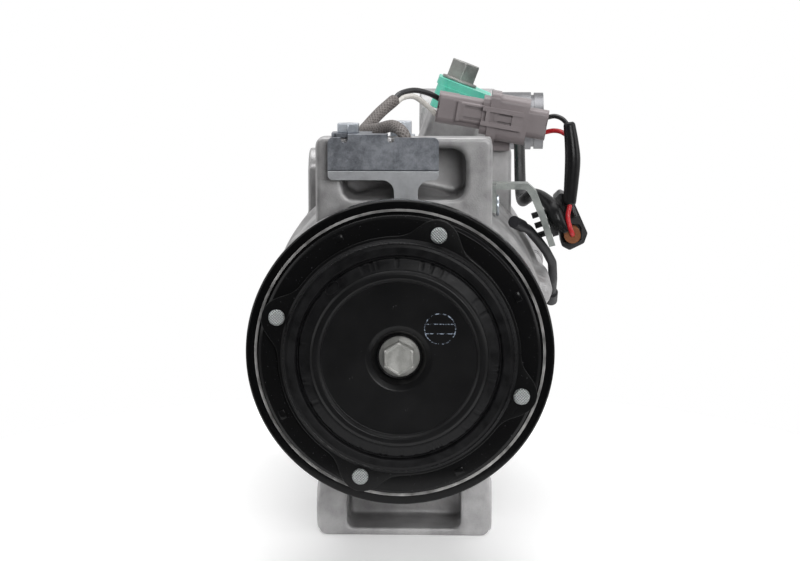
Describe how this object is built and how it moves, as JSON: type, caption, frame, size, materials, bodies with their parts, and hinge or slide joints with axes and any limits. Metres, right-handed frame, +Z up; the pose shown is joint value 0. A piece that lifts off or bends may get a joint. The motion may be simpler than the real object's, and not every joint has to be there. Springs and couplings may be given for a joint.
{
  "type": "automotive ac compressor",
  "caption": "Variable-stroke swash plate car air-conditioning compressor with magnetic clutch, ribbed belt pulley, mounting lugs, control valve and plug leads.",
  "frame": {"origin": "on the shaft axis at the middle of the six belt grooves", "axes": "+Z up, +X right seen from the pulley end, the shaft along Y with the pulley towards -Y"},
  "size_m": [0.1289, 0.2355, 0.1774],
  "materials": {
    "cast": "cast, blasted",
    "steel": "ground",
    "zinc": "zinc plated",
    "dark_steel": "phosphated",
    "black_paint": "satin black",
    "rubber": "moulded",
    "copper": "potted winding",
    "spring_steel": "blued",
    "alu_machined": "machined",
    "gasket": "coated sheet",
    "teal": "translucent moulded",
    "grey_plastic": "moulded",
    "black_plastic": "moulded",
    "sheath": "shrink sheath",
    "braid": "woven sleeve",
    "wire_pair_top": "one black wire, one white wire",
    "wire_pair_side": "one black wire, one red wire",
    "seal_orange": "moulded",
    "valve_case": "dark passivated",
    "bracket_grey": "grey green coated",
    "bush": "lined bush",
    "cable": "cable jacket"
  },
  "bodies": {
    "body": {"pulley_bearing_inner_ring": "steel", "snap_rings": "spring_steel", "coil_housing": "dark_steel", "coil_winding": "copper", "shaft_seal": "rubber", "shaft_bushes": "bush", "front_housing": "cast", "body_gaskets": "gasket", "cylinder_block": "cast", "valve_plate": "steel", "reed_plates": "spring_steel", "rear_housing": "cast", "through_bolts": "zinc", "control_valve": "valve_case", "port_cap": "teal", "port_cap_bolt": "dark_steel", "wire_guard": "zinc", "bracket_bolts": "zinc", "lead_clamp": "zinc", "coil_lead_sleeve": "braid", "coil_lead_wires": "wire_pair_top", "connector_socket": "grey_plastic", "connector_plug": "grey_plastic", "harness_wires": "wire_pair_side", "harness_sheath": "sheath", "harness_boot": "sheath", "harness_bracket": "bracket_grey", "valve_plug": "black_plastic", "plug_seal": "seal_orange", "sensor_cable": "cable"},
    "pulley": {"pulley": "black_paint", "pulley_bearing_outer_ring": "steel"},
    "bearing_cage": {"pulley_bearing_balls": "steel"},
    "rotor": {"clutch_hub": "black_paint", "hub_bolt": "zinc", "damper_rubber": "rubber", "shaft": "steel", "lug_plate": "steel"},
    "armature": {"armature_disc": "black_paint", "outer_plate": "black_paint", "armature_rivets": "zinc"},
    "thrust_cage": {"thrust_rollers": "steel"},
    "sleeve": {"swash_sleeve": "steel", "destroke_spring": "spring_steel"},
    "swash": {"swash_plate": "steel"},
    "valve_rod": {"control_valve_rod": "steel"},
    "piston_1": {"piston_1": "alu_machined"},
    "shoe_pair_1": {"shoes_1": "steel"},
    "piston_2": {"piston_2": "alu_machined"},
    "shoe_pair_2": {"shoes_2": "steel"},
    "piston_3": {"piston_3": "alu_machined"},
    "shoe_pair_3": {"shoes_3": "steel"},
    "piston_4": {"piston_4": "alu_machined"},
    "shoe_pair_4": {"shoes_4": "steel"},
    "piston_5": {"piston_5": "alu_machined"},
    "shoe_pair_5": {"shoes_5": "steel"},
    "piston_6": {"piston_6": "alu_machined"},
    "shoe_pair_6": {"shoes_6": "steel"},
    "piston_7": {"piston_7": "alu_machined"},
    "shoe_pair_7": {"shoes_7": "steel"}
  },
  "joints": [
    {"name": "pulley_spin", "type": "hinge", "parent": "body", "child": "pulley", "pos_m": [0, 0, 0], "axis": [0, 1, 0], "continuous": true},
    {"name": "bearing_roll", "type": "hinge", "parent": "body", "child": "bearing_cage", "pos_m": [0, 0, 0], "axis": [0, 1, 0], "continuous": true},
    {"name": "shaft_spin", "type": "hinge", "parent": "body", "child": "rotor", "pos_m": [0, 0, 0], "axis": [0, 1, 0], "continuous": true},
    {"name": "thrust_roll", "type": "hinge", "parent": "body", "child": "thrust_cage", "pos_m": [0, 0.038, 0], "axis": [0, 1, 0], "continuous": true},
    {"name": "armature_pull_in", "type": "slide", "parent": "rotor", "child": "armature", "axis": [0, 1, 0], "range_m": [0, 0.00049], "stiffness_N_per_m": 8000, "deforming": ["damper_rubber"]},
    {"name": "sleeve_slide", "type": "slide", "parent": "body", "child": "sleeve", "axis": [0, -1, 0], "range_m": [0, 0.0139], "deforming": ["destroke_spring"]},
    {"name": "swash_tilt", "type": "hinge", "parent": "sleeve", "child": "swash", "pos_m": [0, 0.088, 0], "axis": [1, 0, 0], "range_deg": [0, 21]},
    {"name": "piston_1_stroke", "type": "slide", "parent": "body", "child": "piston_1", "axis": [0, -1, 0], "range_m": [0, 0.02779]},
    {"name": "shoe_tilt_1", "type": "hinge", "parent": "piston_1", "child": "shoe_pair_1", "pos_m": [0, 0.088, 0.0362], "axis": [1, 0, 0], "range_deg": [0, 21.01]},
    {"name": "piston_2_stroke", "type": "slide", "parent": "body", "child": "piston_2", "axis": [0, -1, 0], "range_m": [0, 0.02256]},
    {"name": "shoe_tilt_2", "type": "hinge", "parent": "piston_2", "child": "shoe_pair_2", "pos_m": [-0.0283, 0.088, 0.02257], "axis": [1, 0, 0], "range_deg": [0, 21.01]},
    {"name": "piston_3_stroke", "type": "slide", "parent": "body", "child": "piston_3", "axis": [0, -1, 0], "range_m": [0, 0.01081]},
    {"name": "shoe_tilt_3", "type": "hinge", "parent": "piston_3", "child": "shoe_pair_3", "pos_m": [-0.03529, 0.088, -0.00806], "axis": [1, 0, 0], "range_deg": [0, 21.01]},
    {"name": "piston_4_stroke", "type": "slide", "parent": "body", "child": "piston_4", "axis": [0, -1, 0], "range_m": [0, 0.00138]},
    {"name": "shoe_tilt_4", "type": "hinge", "parent": "piston_4", "child": "shoe_pair_4", "pos_m": [-0.01571, 0.088, -0.03262], "axis": [1, 0, 0], "range_deg": [0, 21.01]},
    {"name": "piston_5_stroke", "type": "slide", "parent": "body", "child": "piston_5", "axis": [0, -1, 0], "range_m": [0, 0.00138]},
    {"name": "shoe_tilt_5", "type": "hinge", "parent": "piston_5", "child": "shoe_pair_5", "pos_m": [0.01571, 0.088, -0.03262], "axis": [1, 0, 0], "range_deg": [0, 21.01]},
    {"name": "piston_6_stroke", "type": "slide", "parent": "body", "child": "piston_6", "axis": [0, -1, 0], "range_m": [0, 0.01081]},
    {"name": "shoe_tilt_6", "type": "hinge", "parent": "piston_6", "child": "shoe_pair_6", "pos_m": [0.03529, 0.088, -0.00806], "axis": [1, 0, 0], "range_deg": [0, 21.01]},
    {"name": "piston_7_stroke", "type": "slide", "parent": "body", "child": "piston_7", "axis": [0, -1, 0], "range_m": [0, 0.02256]},
    {"name": "shoe_tilt_7", "type": "hinge", "parent": "piston_7", "child": "shoe_pair_7", "pos_m": [0.0283, 0.088, 0.02257], "axis": [1, 0, 0], "range_deg": [0, 21.01]},
    {"name": "valve_rod_travel", "type": "slide", "parent": "body", "child": "valve_rod", "axis": [1, 0, 0], "range_m": [0, 0.0008], "stiffness_N_per_m": 800}
  ],
  "couplings": [
    {"joint": "bearing_roll", "follows": "pulley_spin", "ratio": 0.5867},
    {"joint": "thrust_roll", "follows": "shaft_spin", "ratio": 0.5},
    {"joint": "sleeve_slide", "follows": "swash_tilt", "m_per_rad": 0.037913},
    {"joint": "piston_1_stroke", "follows": "swash_tilt", "m_per_rad": 0.075826},
    {"joint": "shoe_tilt_1", "follows": "swash_tilt", "ratio": 1},
    {"joint": "piston_2_stroke", "follows": "swash_tilt", "m_per_rad": 0.061552},
    {"joint": "shoe_tilt_2", "follows": "swash_tilt", "ratio": 1},
    {"joint": "piston_3_stroke", "follows": "swash_tilt", "m_per_rad": 0.029477},
    {"joint": "shoe_tilt_3", "follows": "swash_tilt", "ratio": 1},
    {"joint": "piston_4_stroke", "follows": "swash_tilt", "m_per_rad": 0.0037546},
    {"joint": "shoe_tilt_4", "follows": "swash_tilt", "ratio": 1},
    {"joint": "piston_5_stroke", "follows": "swash_tilt", "m_per_rad": 0.0037546},
    {"joint": "shoe_tilt_5", "follows": "swash_tilt", "ratio": 1},
    {"joint": "piston_6_stroke", "follows": "swash_tilt", "m_per_rad": 0.029477},
    {"joint": "shoe_tilt_6", "follows": "swash_tilt", "ratio": 1},
    {"joint": "piston_7_stroke", "follows": "swash_tilt", "m_per_rad": 0.061552},
    {"joint": "shoe_tilt_7", "follows": "swash_tilt", "ratio": 1}
  ]
}
